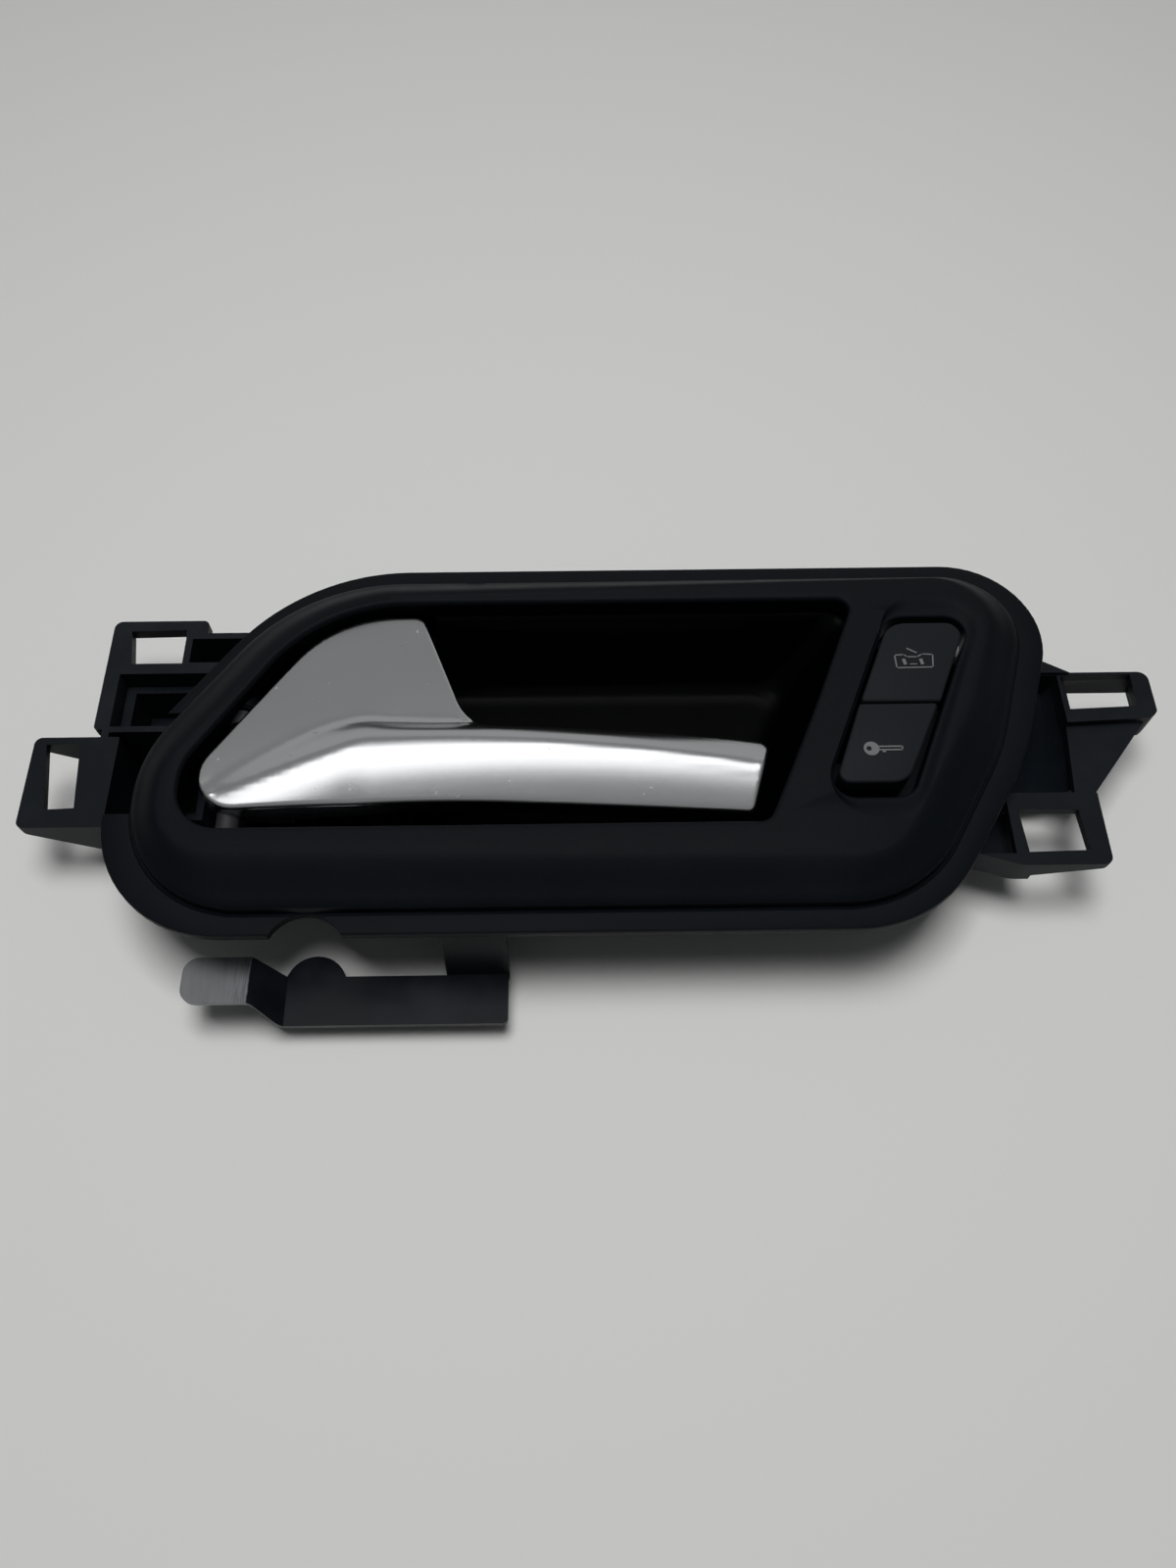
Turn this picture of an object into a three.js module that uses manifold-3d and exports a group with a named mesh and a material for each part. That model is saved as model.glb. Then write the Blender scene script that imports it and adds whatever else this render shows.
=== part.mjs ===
// Interior car door handle: a satin metal pull lever in a black trim bezel, with a two-key lock switch,
// on a moulded carrier with snap tabs and a stamped steel bracket.
// Millimetres. The handle lies on its back: +Z points out of the door, +X runs from the pivot end to the
// switch end, +Y is the top edge. The origin is the centre of the base, at the lowest point of the carrier.
import * as THREE from "three";
import { mergeVertices } from "three/addons/utils/BufferGeometryUtils.js";
import { ParametricGeometry } from "three/addons/geometries/ParametricGeometry.js";
import Module from "manifold-3d";

const wasm = await Module();
wasm.setup();

// ---- driving dimensions -------------------------------------------------------------------------------
const gap = 0.3; // clearance between pieces that touch on the real handle
const tabTop = 22; // front face of the snap tabs
const flangeBack = 27.8;
const flangeTop = 30;
const wallTop = 32.4; // top of the step between the flange and the raised body of the bezel
const crestTop = 36.2; // highest line of the bezel
const bezelWall = 2.2;
const lipBottom = 31.6; // lower edge of the wall round the finger opening

const pivotX = -84; // the lever's pin runs along Y
const pivotZ = 28.4;
const pinRadius = 1.6;
const bushRadius = 2.3;
const barrelRadius = 2.6; // the lever core's sleeve round the pin
const towerRadius = 3; // eye of each pivot tower
const leverCrown = 37.6; // highest point of the lever's bar
const barDepth = 8.5;
const fanTop = 33.3; // front face of the lever's fan
const fanThickness = 3;

const bowlRimTop = 29.6;
const bowlFloor = 10;
const bowlWall = 1.8;

const keyTop = 37.3; // the lock keys stand proud of the bezel
const keyBottom = 29.5;
const housingTop = 27;
const housingBottom = 12;
const boardTop = 20.6;

const floorTop = 2;
const trayWall = 2;
const trayTop = flangeBack - gap;
const lugBottom = 22.4; // underside of the screw lugs
const steel = 1.5; // sheet thickness of the stamped bracket

// ---- outlines: corners are [x, y, radius], counter-clockwise -------------------------------------------
const flangeCorners = [
  [-112, -41.7, 30], [71.7, -41.7, 32], [97.6, -0.6, 80], [116, 54.7, 22], [-72.8, 54.7, 50], [-112, -1, 30],
];
const bodyCorners = [
  [-105.2, -36.5, 27], [68.9, -36.5, 30], [92, 2, 70], [107, 49.7, 16.5], [-72.3, 49.7, 46], [-105.2, 2, 30],
];
const crestCorners = [
  [-98, -23.8, 13], [62.5, -27, 15], [84.5, 10, 70], [97.5, 46.4, 12], [-67.2, 42.8, 39], [-98, -3.4, 16],
];
const openingCorners = [
  [-94, -18.6, 10], [36.4, -18.6, 3.5], [49.2, 10.6, 300], [61.3, 40.4, 3], [-66.3, 40.4, 37],
  [-94, -2.7, 14],
];
const pocketCorners = [
  [48.7, -12.8, 5], [68.5, -12.8, 5.5], [89.3, 35.4, 4.5], [69, 35.4, 6],
];
const dishCorners = [
  [46.4, -18, 9], [69, -18, 9], [92.8, 40.4, 7], [70.9, 40.4, 8],
];
const leverCorners = [
  [-99.4, -13.7, 9.2], [-38, -12, 500], [33.6, -15.2, 2], [38.7, 3, 2.5], [8, 6, 400], [-30.3, 7.2, 12],
  [-42.4, 39.1, 3.2], [-63.6, 39.1, 27],
];

// Points along a polygon with rounded corners.
function outline(corners, arcSteps = 6, edgeSteps = 1) {
  const n = corners.length;
  const arcs = corners.map(([x, y, r], i) => {
    const corner = new THREE.Vector2(x, y);
    const before = new THREE.Vector2(...corners[(i + n - 1) % n]).sub(corner).normalize();
    const after = new THREE.Vector2(...corners[(i + 1) % n]).sub(corner).normalize();
    const half = Math.acos(before.dot(after)) / 2;
    const middle = before.clone().add(after).normalize();
    const centre = corner.clone().addScaledVector(middle, r / Math.sin(half));
    const from = corner.clone().addScaledVector(before, r / Math.tan(half)).sub(centre).angle();
    const to = corner.clone().addScaledVector(after, r / Math.tan(half)).sub(centre).angle();
    const turn = THREE.MathUtils.euclideanModulo(to - from + Math.PI, 2 * Math.PI) - Math.PI;
    return Array.from({ length: arcSteps + 1 }, (_, k) => {
      const angle = from + (turn * k) / arcSteps;
      return new THREE.Vector2(centre.x + r * Math.cos(angle), centre.y + r * Math.sin(angle));
    });
  });
  return arcs.flatMap((arc, i) => {
    const next = arcs[(i + 1) % n][0];
    const last = arc[arcSteps];
    const along = (_, k) => last.clone().lerp(next, (k + 1) / edgeSteps);
    return [...arc, ...Array.from({ length: edgeSteps - 1 }, along)];
  });
}

// The same outline moved outwards by a distance (inwards when it is negative).
function offset(points, distance) {
  const n = points.length;
  return points.map((p, i) => {
    const along = points[(i + 1) % n].clone().sub(points[(i + n - 1) % n]).normalize();
    return new THREE.Vector2(p.x + along.y * distance, p.y - along.x * distance);
  });
}

// Corners of the same polygon with every side moved outwards by a distance, the radii kept concentric.
function grow(corners, distance) {
  const n = corners.length;
  const normal = ([x0, y0], [x1, y1]) => new THREE.Vector2(y1 - y0, x0 - x1).normalize();
  return corners.map(([x, y, r], i) => {
    const before = normal(corners[(i + n - 1) % n], corners[i]);
    const after = normal(corners[i], corners[(i + 1) % n]);
    const shift = before.clone().add(after).multiplyScalar(distance / (1 + before.dot(after)));
    const radius = Math.max(0.2, r + (before.cross(after) > 0 ? distance : -distance));
    return [x + shift.x, y + shift.y, radius];
  });
}

const blend = (a, b, share) => a.map((p, i) => p.clone().lerp(b[i], share));

// ---- solids --------------------------------------------------------------------------------------------
function solid(geometry) {
  const bare = new THREE.BufferGeometry().setAttribute("position", geometry.getAttribute("position"));
  if (geometry.index) bare.setIndex(geometry.index);
  const merged = mergeVertices(bare, 1e-4);
  const index = merged.index.array;
  const kept = [];
  for (let i = 0; i < index.length; i += 3) {
    const [a, b, c] = [index[i], index[i + 1], index[i + 2]];
    if (a !== b && b !== c && c !== a) kept.push(a, b, c);
  }
  const vertProperties = new Float32Array(merged.getAttribute("position").array);
  return new wasm.Manifold(new wasm.Mesh({ numProp: 3, vertProperties, triVerts: new Uint32Array(kept) }));
}

function box(x0, x1, y0, y1, z0, z1) {
  const shape = new THREE.BoxGeometry(x1 - x0, y1 - y0, z1 - z0);
  return solid(shape.translate((x0 + x1) / 2, (y0 + y1) / 2, (z0 + z1) / 2));
}

function prism(points, z0, z1) {
  const shape = new THREE.Shape(points);
  const extruded = new THREE.ExtrudeGeometry(shape, { depth: z1 - z0, bevelEnabled: false });
  return solid(extruded.translate(0, 0, z0));
}

const plate = (corners, z0, z1) => prism(outline(corners), z0, z1);
const polygon = (corners) => corners.map(([x, y]) => new THREE.Vector2(x, y));

// A profile of [x, z] points extruded along Y from y0 to y1.
function extrudeAlongY(profile, y0, y1) {
  const shape = new THREE.Shape(polygon(profile));
  const geometry = new THREE.ExtrudeGeometry(shape, { depth: y1 - y0, bevelEnabled: false });
  return solid(geometry.rotateX(Math.PI / 2).translate(0, y1, 0));
}

// A profile of [y, z] points extruded along X from x0 to x1.
function extrudeAlongX(profile, x0, x1) {
  const shape = new THREE.Shape(polygon(profile));
  const geometry = new THREE.ExtrudeGeometry(shape, { depth: x1 - x0, bevelEnabled: false });
  return solid(geometry.rotateX(Math.PI / 2).rotateZ(Math.PI / 2).translate(x0, 0, 0));
}

// A round bar along Y, about the line at x, z.
function barAlongY(radius, y0, y1, x, z, sides = 24) {
  const bar = new THREE.CylinderGeometry(radius, radius, y1 - y0, sides);
  return solid(bar.translate(x, (y0 + y1) / 2, z));
}

// A round post along Z.
function post(radius, z0, z1, x, y, sides = 20) {
  const bar = new THREE.CylinderGeometry(radius, radius, z1 - z0, sides).rotateX(Math.PI / 2);
  return solid(bar.translate(x, y, (z0 + z1) / 2));
}

// Rings of equal point counts skinned into one surface. Each ring is {points, z}.
function skin(rings, closed) {
  const count = rings[0].points.length;
  const stacks = closed ? rings.length : rings.length - 1;
  const surface = (u, v, target) => {
    const ring = rings[Math.round(v * stacks) % rings.length];
    const p = ring.points[Math.round(u * count) % count];
    target.set(p.x, p.y, ring.z);
  };
  return solid(new ParametricGeometry(surface, count, stacks));
}

const join = (...parts) => parts.reduce((whole, part) => whole.add(part));
const cut = (body, ...tools) => tools.reduce((left, tool) => left.subtract(tool), body);

// ---- bezel ---------------------------------------------------------------------------------------------
const arcSteps = 7;
const edgeSteps = 2;
const ringOf = (corners) => outline(corners, arcSteps, edgeSteps);
const flangeRing = ringOf(flangeCorners);
const bodyRing = ringOf(bodyCorners);
const crestRing = ringOf(crestCorners);
const openingRing = ringOf(openingCorners);

const bosses = [[-92.5, -23.5], [-6, -29], [42, -29], [-30, 47.6], [36, 47.6]];
const bossRadius = 3;
const screwHole = 1.5;

function bezelShell() {
  const under = flangeBack;
  return skin([
    { points: flangeRing, z: under },
    { points: flangeRing, z: flangeTop },
    { points: bodyRing, z: flangeTop },
    { points: offset(bodyRing, -0.4), z: wallTop },
    { points: blend(bodyRing, crestRing, 0.22), z: wallTop + 0.5 },
    { points: blend(bodyRing, crestRing, 0.45), z: wallTop + 1.3 },
    { points: blend(bodyRing, crestRing, 0.72), z: crestTop - 1.1 },
    { points: crestRing, z: crestTop - 0.1 },
    { points: blend(crestRing, openingRing, 0.5), z: crestTop },
    { points: offset(openingRing, 1.1), z: crestTop - 0.15 },
    { points: offset(openingRing, 0.3), z: crestTop - 0.45 },
    { points: openingRing, z: crestTop - 0.8 },
    { points: offset(openingRing, 0.8), z: crestTop - 1.4 },
    { points: offset(openingRing, 0.8), z: lipBottom },
    { points: offset(openingRing, bezelWall), z: lipBottom },
    { points: offset(openingRing, bezelWall), z: crestTop - 2.4 },
    { points: crestRing, z: crestTop - 2.4 },
    { points: blend(bodyRing, crestRing, 0.5), z: wallTop - 0.9 },
    { points: offset(bodyRing, -bezelWall), z: wallTop - 2 },
    { points: offset(bodyRing, -bezelWall), z: under },
  ], true);
}

function makeBezel() {
  let bezel = bezelShell();
  for (const [x, y] of bosses) {
    const bossTop = wallTop + (y < 0 ? 0.6 : 0);
    bezel = bezel.add(post(bossRadius, flangeBack, bossTop, x, y, 16));
  }
  bezel = bezel.add(plate(grow(pocketCorners, 1.6), 31.5, crestTop - 2));
  const dish = skin([
    { points: outline(pocketCorners, 6, 3).map(() => new THREE.Vector2(69, 12)), z: crestTop - 1.7 },
    { points: outline(pocketCorners, 6, 3), z: crestTop - 1.7 },
    { points: blend(outline(pocketCorners, 6, 3), outline(dishCorners, 6, 3), 0.5), z: crestTop - 1.3 },
    { points: outline(dishCorners, 6, 3), z: crestTop + 0.4 },
    { points: outline(dishCorners, 6, 3).map(() => new THREE.Vector2(69, 12)), z: crestTop + 0.4 },
  ], false);
  const pocket = plate(pocketCorners, flangeBack, crestTop + 2);
  // The flange is cut back beside the finger opening, and has a half-round clearance in its lower edge.
  const tabSide = box(-120, -90, -12.3, 14, flangeBack - 1, flangeTop + 0.2);
  const besideBody = cut(tabSide, prism(offset(bodyRing, 0.8), 20, 40));
  const clearance = post(8.8, flangeBack - 1, flangeTop + 1, -64, -45.6, 40);
  bezel = cut(bezel, dish, pocket, besideBody, clearance);
  for (const [x, y] of bosses) {
    bezel = bezel.subtract(post(screwHole, flangeBack - 1, wallTop - 0.4, x, y, 12));
  }
  return bezel;
}

// ---- finger bowl ---------------------------------------------------------------------------------------
const bowlTopCorners = [
  [-52, -19.2, 5], [36.8, -19.2, 3.8], [49.5, 10.4, 300], [61.8, 40.9, 3.3], [-52, 40.9, 5],
];
const bowlFloorCorners = [[-46, -13, 7], [27.5, -13, 7], [37.8, 10.4, 300], [47.6, 30, 7], [-46, 30, 7]];

function makeBowl() {
  const top = outline(bowlTopCorners, 6, 3);
  const floor = outline(bowlFloorCorners, 6, 3);
  const middle = floor.map(() => new THREE.Vector2(0, 8));
  const at = (share) => blend(top, floor, share);
  const bowl = skin([
    { points: middle, z: bowlFloor - bowlWall },
    { points: blend(floor, middle, 0.2), z: bowlFloor - bowlWall },
    { points: offset(floor, bowlWall * 0.7), z: bowlFloor },
    { points: offset(at(0.62), bowlWall), z: bowlFloor + 6 },
    { points: offset(at(0.25), bowlWall), z: bowlFloor + 13 },
    { points: offset(top, bowlWall), z: bowlRimTop - bowlWall },
    { points: offset(top, 2.4), z: bowlRimTop - bowlWall },
    { points: offset(top, 2.4), z: bowlRimTop },
    { points: top, z: bowlRimTop },
    { points: at(0.25), z: bowlFloor + 13 },
    { points: at(0.62), z: bowlFloor + 6.5 },
    { points: floor, z: bowlFloor + 1.2 },
    { points: blend(floor, middle, 0.2), z: bowlFloor },
    { points: middle, z: bowlFloor },
  ], false);
  // The rim is cut down where the lever passes over it.
  return cut(bowl, box(-60, -40, -18, 42, 24, 32));
}

// ---- lever ---------------------------------------------------------------------------------------------
// The bar has a ridge line. It bends down gently towards the lower edge and more sharply towards the fan.
const barMiddle = -25; // X where the bar is highest
const crownAt = (x) => leverCrown - (x > barMiddle ? 3 : 4) * ((x - barMiddle) / 65) ** 2;
const ridgeAt = (x) => smoothLower(2.6 - 0.001 * (x + 45) ** 2, 2.6 + 0.37 * (x + 54.5), 1.5);

// The lower, or the higher, of two values, with the corner between them rounded off.
function smoothLower(a, b, width) {
  const share = THREE.MathUtils.clamp(0.5 + (b - a) / (2 * width), 0, 1);
  return THREE.MathUtils.lerp(b, a, share) - width * share * (1 - share) * 0.5;
}
const smoothHigher = (a, b, width) => -smoothLower(-a, -b, width);

function leverFront(x, y) {
  const beyond = y - ridgeAt(x);
  const { lerp, smoothstep } = THREE.MathUtils;
  const towardsFan = lerp(0.018, 0.085, smoothstep(x, -66, -36)) - 0.062 * smoothstep(x, -5, 36);
  const drop = beyond > 0 ? 0.2 * beyond + towardsFan * beyond ** 2 : -0.1 * beyond + 0.0075 * beyond ** 2;
  const fan = fanTop - 0.02 * (y - 7) + 0.5 * Math.min(beyond, 0) - 6 * smoothstep(x, -32, -4);
  return smoothHigher(crownAt(x) - drop, fan, 1.1);
}

const onFan = (x, y) =>
  THREE.MathUtils.smoothstep(y, 5.5, 8) * (1 - THREE.MathUtils.smoothstep(x, -29, -26));
const leverBack = (x, y) => THREE.MathUtils.lerp(crownAt(x) - barDepth, fanTop - fanThickness, onFan(x, y));
const coreBack = (x, y) => THREE.MathUtils.lerp(crownAt(x) - barDepth + 0.4, fanTop - 5.3, onFan(x, y));

// Everything under a height field, down to a flat bottom, over a rectangle that holds the lever.
function under(height, bottom, columns = 36, rows = 22) {
  const [x0, x1, y0, y1] = [-94, 41, -17, 41];
  const block = new THREE.BoxGeometry(x1 - x0, y1 - y0, 1, columns, rows, 1);
  const points = block.translate((x0 + x1) / 2, (y0 + y1) / 2, 0.5).getAttribute("position");
  for (let i = 0; i < points.count; i++) {
    points.setZ(i, points.getZ(i) > 0.5 ? height(points.getX(i), points.getY(i)) : bottom);
  }
  return solid(block);
}

const leverOutline = outline(leverCorners, 7, 2);
const skinThickness = 2.2;
const coreScrews = [[-66, 12], [-52, 30]];

function makeLever() {
  const full = cut(under(leverFront, 12).intersect(prism(leverOutline, 14, 45)), under(leverBack, 10));
  const inside = prism(outline(grow(leverCorners, -2), 7, 2), 12, 45);
  const hollow = under((x, y) => leverFront(x, y) - skinThickness, 10, 24, 16).intersect(inside);
  let lever = full.subtract(hollow);
  for (const [x, y] of coreScrews) {
    lever = lever.add(post(2.6, fanTop - 3.6, fanTop - 1.5, x, y, 16));
    lever = lever.subtract(post(1.3, fanTop - 4, fanTop - 1.2, x, y, 12));
  }
  return lever.subtract(barAlongY(barrelRadius + gap, -20, 20, pivotX, pivotZ, 20));
}

const armAt = { x0: -72, x1: -66, y0: 20.5, y1: 23.5, low: 8 };
const springFrom = 3.2;
const springTo = 10.8;

function makeLeverCore() {
  const inner = prism(outline(grow(leverCorners, -2.4), 7, 2), 12, 45);
  const fill = under((x, y) => leverFront(x, y) - skinThickness - 0.45, 12, 24, 16).intersect(inner);
  let core = fill.subtract(under(coreBack, 10, 24, 16));
  core = core.add(barAlongY(barrelRadius, -18, 14, pivotX, pivotZ, 20));
  core = core.add(box(pivotX, -76, 11, 14, pivotZ - 1, pivotZ + 1));
  core = core.add(box(armAt.x0, armAt.x1, armAt.y0, armAt.y1, armAt.low, 29));
  core = core.add(box(armAt.x0, armAt.x1, armAt.y0 - 5, armAt.y0, 23, 29));
  core = core.subtract(barAlongY(1.6, armAt.y0 - 1, armAt.y1 + 1, -69, armAt.low + 3, 16));
  core = core.subtract(barAlongY(pinRadius, -20, 20, pivotX, pivotZ, 16));
  core = core.subtract(box(pivotX - 4, pivotX + 4, springFrom, springTo, 20, 34));
  for (const [x, y] of coreScrews) {
    core = cut(core, post(2.9, 29.4, 34, x, y, 16), post(1.6, 20, 34, x, y, 12));
  }
  return core;
}

// ---- pivot ---------------------------------------------------------------------------------------------
const towers = [[-22.8, -19.3], [15.4, 18.9]];

function makePivotPin() {
  const pin = barAlongY(pinRadius - 0.1, -24.4, 20.6, pivotX, pivotZ, 16);
  const head = barAlongY(2.6, -25.4, -23.6, pivotX, pivotZ, 16);
  const neck = barAlongY(1, 19, 21, pivotX, pivotZ, 16);
  const groove = cut(barAlongY(4, 19.6, 20.2, pivotX, pivotZ, 16), neck);
  return cut(join(pin, head), groove);
}

function makePinClip() {
  const disc = barAlongY(3, 19.65, 20.15, pivotX, pivotZ, 20);
  const mouth = box(pivotX - 0.9, pivotX + 0.9, 19, 21, 20, pivotZ);
  return cut(disc, barAlongY(1.2, 19, 21, pivotX, pivotZ, 16), mouth);
}

// A flanged sleeve pressed into a tower; its collar bears on the lever's core.
function makeBush([y0, y1], collarBelow) {
  const [from, to] = collarBelow ? [y0 - 0.9, y0 - gap] : [y1 + gap, y1 + 0.9];
  const sleeveFrom = collarBelow ? from : y0 + 0.2;
  const sleeveTo = collarBelow ? y1 - 0.2 : to;
  const sleeve = barAlongY(bushRadius, sleeveFrom, sleeveTo, pivotX, pivotZ, 16);
  const collar = barAlongY(towerRadius, from, to, pivotX, pivotZ, 16);
  return cut(join(sleeve, collar), barAlongY(pinRadius, -30, 30, pivotX, pivotZ, 16));
}

function makeSpring() {
  const coil = 2.45;
  const wire = 0.4;
  const turns = 3.75;
  const path = [new THREE.Vector3(-70, 10, pivotZ - coil), new THREE.Vector3(-78, 10, pivotZ - coil)];
  const steps = 36;
  for (let i = 0; i <= steps; i++) {
    const angle = -Math.PI / 2 - (turns * 2 * Math.PI * i) / steps;
    const y = THREE.MathUtils.lerp(10, 4, i / steps);
    path.push(new THREE.Vector3(pivotX + coil * Math.cos(angle), y, pivotZ + coil * Math.sin(angle)));
  }
  path.push(new THREE.Vector3(pivotX + coil, 4, 24), new THREE.Vector3(pivotX + coil, 4, 18));
  const extrudePath = new THREE.CatmullRomCurve3(path, false, "centripetal");
  const section = new THREE.Shape().absarc(0, 0, wire, 0, 2 * Math.PI);
  return solid(new THREE.ExtrudeGeometry(section, { extrudePath, steps: 64, curveSegments: 3 }));
}

const stopAt = [-59, 27];

function makeLeverStop() {
  const [x, y] = stopAt;
  return cut(post(3, 23, 27.6, x, y, 20), post(1.8, 22, 25, x, y, 16));
}

// ---- carrier -------------------------------------------------------------------------------------------
const trayCorners = [
  [-98, -20.8, 8], [-56, -20.8, 0.5], [-56, -24.4, 0.5], [62, -24.4, 16], [90, -8, 14], [92, 29, 4],
  [70, 29, 2],
  [70, 46.3, 3], [-70, 46.3, 42], [-98, 8, 26],
];

function carrierTray() {
  return cut(plate(trayCorners, 0, trayTop), plate(grow(trayCorners, -trayWall), floorTop, trayTop + 1));
}

// The ribbed box at the pivot end, open towards the front.
function carrierEndBox() {
  return cut(
    join(box(-119.6, -70, -10, 33.4, 0, tabTop), box(-103.2, -70, 30, 42.4, 0, tabTop)),
    box(-101.5, -90, 33.6, 40.7, 3, 30),
    box(-118, -94, 15.4, 30.4, 16, 30),
    box(-115.6, -94, 17.2, 28.5, 4, 30),
    box(-117.8, -94, -8.2, 13.8, 3, 30),
    box(-92.2, -68, -20, 40.7, 3, 30),
  );
}

function topLeftTab() {
  const tab = plate([[-121.7, 14.6, 1], [-98, 14.6, 1], [-98, 46.2, 1.5], [-121.7, 46.2, 2]], 19, tabTop);
  const window = prism(polygon([[-115.6, 33.4], [-102.6, 33.4], [-103.4, 43.4], [-117.1, 43.2]]), 10, 30);
  return cut(tab, window, box(-118, -90, 15.4, 30.4, 10, 30), box(-101.5, -90, 33.6, 40.7, 10, 30));
}

function bottomLeftTab() {
  const side = extrudeAlongY([[-115, 7.5], [-135, 19.6], [-135, tabTop], [-115, tabTop]], -12, 13);
  const wedgeCorners = [[-135, -11.5, 1.8], [-115, -11.5, 0.5], [-115, 12.5, 0.5], [-135, 12.5, 1.8]];
  const wedge = side.intersect(plate(wedgeCorners, 0, 30));
  const hollow = box(-133, -119.6, -9.7, 10.6, 0, tabTop - 2.2);
  const window = prism(polygon([[-132, 10.6], [-124, 10.6], [-122.4, -6.5], [-129.2, -6.8]]), 10, 30);
  return cut(wedge, hollow, window);
}

function rightTabs() {
  const upperShape = [[104, 13, 0.5], [133, 14.4, 1.5], [135, 16, 2], [135, 27.6, 2.5], [104, 27.6, 0.5]];
  const underTab = box(113, 133, 15, 26.8, 10, 19.8);
  const besideTab = box(100, 112.6, 12, 26.8, 10, 30);
  const upper = cut(plate(upperShape, 13.6, tabTop), underTab, besideTab);
  const lowerSide = extrudeAlongY([[76, 11], [115.6, 20], [115.6, tabTop], [76, tabTop]], -24, -5.6);
  const lowerShape = [[76, -18, 0.5], [95, -24, 12], [115.6, -24, 2], [115.6, -5.6, 0.5], [76, -5.6, 0.5]];
  const lowerInner = plate(grow(lowerShape, -1.8), 0, 19.8);
  const opening = box(70, 94, -21, -7.4, 13.5, 30);
  const lower = cut(lowerSide.intersect(plate(lowerShape, 0, 30)), lowerInner, opening);
  const closing = plate(grow(lowerShape, -1), 11.8, 13.6).intersect(box(70, 99.4, -30, 0, 0, 30));
  const web = prism(polygon([[113, 14], [132, 14.4], [115.5, -5.7], [111, -8]]), 18, 20);
  const upperWindow = prism(polygon([[113.6, 17.1], [130.4, 17.8], [130.7, 26.8], [113.4, 26.6]]), 16, 30);
  const lowerWindow = prism(polygon([[97, -20.7], [111, -20.4], [110.3, -10.2], [96.3, -9.9]]), 16, 30);
  const hump = prism(polygon([[104, 27], [115.5, 27], [109.8, 30.2], [104, 30.6]]), 14, 23);
  return cut(join(upper, lower, closing, web, hump), upperWindow, lowerWindow);
}

// A hollow-curved panel joins the tray to the right-hand tabs.
function rightTongue() {
  const arc = (width, depth, z) => Array.from({ length: 9 }, (_, i) => {
    const angle = (i / 8) * (Math.PI / 2);
    return [90 + width * Math.sin(angle), z - depth * Math.cos(angle)];
  });
  const sheet = extrudeAlongY([...arc(25, 18, 20), ...arc(23, 16, 20).reverse()], -2, 27.5);
  return join(sheet, box(91, 104.5, 26, 27.6, 4, tabTop), box(87, 93, -2, 27.5, 0, 5));
}

const housingRests = [[50.4, -3], [85.5, 11]];
const bracketScrews = [[-34, -30.5], [-24.5, -30.5]];

function makeCarrier() {
  const tabs = join(topLeftTab(), bottomLeftTab(), rightTabs(), rightTongue());
  let carrier = join(carrierTray(), carrierEndBox(), tabs);
  for (const [x, y] of bosses) {
    const tie = box(x - 4.4, x + 4.4, y, x < -50 ? -19.5 : -23, lugBottom, trayTop);
    const lug = post(4.4, lugBottom, trayTop, x, y, 16);
    carrier = carrier.add(y < 0 ? lug.add(tie) : lug);
  }
  carrier = carrier.add(box(-38, -20, -34, -23, 15, 23.6));
  for (const [x, y] of housingRests) carrier = carrier.add(post(2.4, 0, 24.3, x, y, 16));
  carrier = join(carrier, post(3, 0, 22.7, ...stopAt, 16), post(1.5, 22, 24.7, ...stopAt, 12));
  for (const [y0, y1] of towers) {
    const foot = box(pivotX - 4.6, pivotX + 4.6, y0, y1, 0, 20);
    const neck = box(pivotX - towerRadius, pivotX + towerRadius, y0, y1, 19, pivotZ);
    const eye = barAlongY(towerRadius, y0, y1, pivotX, pivotZ, 20);
    const bushHole = barAlongY(bushRadius + 0.1, y0 - 1, y1 + 1, pivotX, pivotZ, 16);
    carrier = cut(join(carrier, foot, neck, eye), bushHole);
  }
  for (const [x, y] of bosses) {
    carrier = cut(carrier, post(3.2, 18, lugBottom, x, y, 16), post(1.5, 10, 30, x, y, 12));
  }
  for (const [x, y] of bracketScrews) carrier = carrier.subtract(post(1.1, 12, 30, x, y, 12));
  const legNotch = box(-38.2, -19.8, -40, -27, 23.6, 30);
  const floorSlot = box(-82.8, -76, -1.8, 1.6, -1, 3);
  const cableBore = post(3.4, -6, 3, 0, 0).rotate([0, 90, 0]).translate([-93, 22, 11]);
  const cableHole = join(box(-92.1, -80, 17, 27, 5, 17), cableBore);
  const pinEnd = (y0, y1) => box(pivotX - 4, pivotX + 4, y0, y1, 24, 30);
  const clipRoom = join(pinEnd(19.2, 22), pinEnd(-19.2, -18));
  return cut(carrier, legNotch, floorSlot, cableHole, clipRoom);
}

function makeCableGuide() {
  const tube = post(3.1, -4, 4, 0, 0);
  const collar = post(4.6, 1.3, 2.8, 0, 0);
  const bore = post(1.4, -6, 6, 0, 0, 12);
  return cut(join(tube, collar), bore).rotate([0, 90, 0]).translate([-93.3, 22, 11]);
}

// ---- screws --------------------------------------------------------------------------------------------
function screw(headRadius, headHeight, shankRadius, length) {
  const profile = [[0, 0], [headRadius * 0.8, 0], [headRadius, headHeight * 0.35], [headRadius, headHeight],
    [shankRadius, headHeight], [shankRadius, headHeight + length - 1],
    [shankRadius * 0.4, headHeight + length],
    [0, headHeight + length]];
  const turned = new THREE.LatheGeometry(polygon(profile), 12).rotateX(Math.PI / 2);
  const reach = headRadius * 0.55;
  const slot = (angle) => box(-reach, reach, -0.35, 0.35, -1, headHeight * 0.5).rotate([0, 0, angle]);
  return cut(solid(turned), slot(0), slot(90));
}

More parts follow.
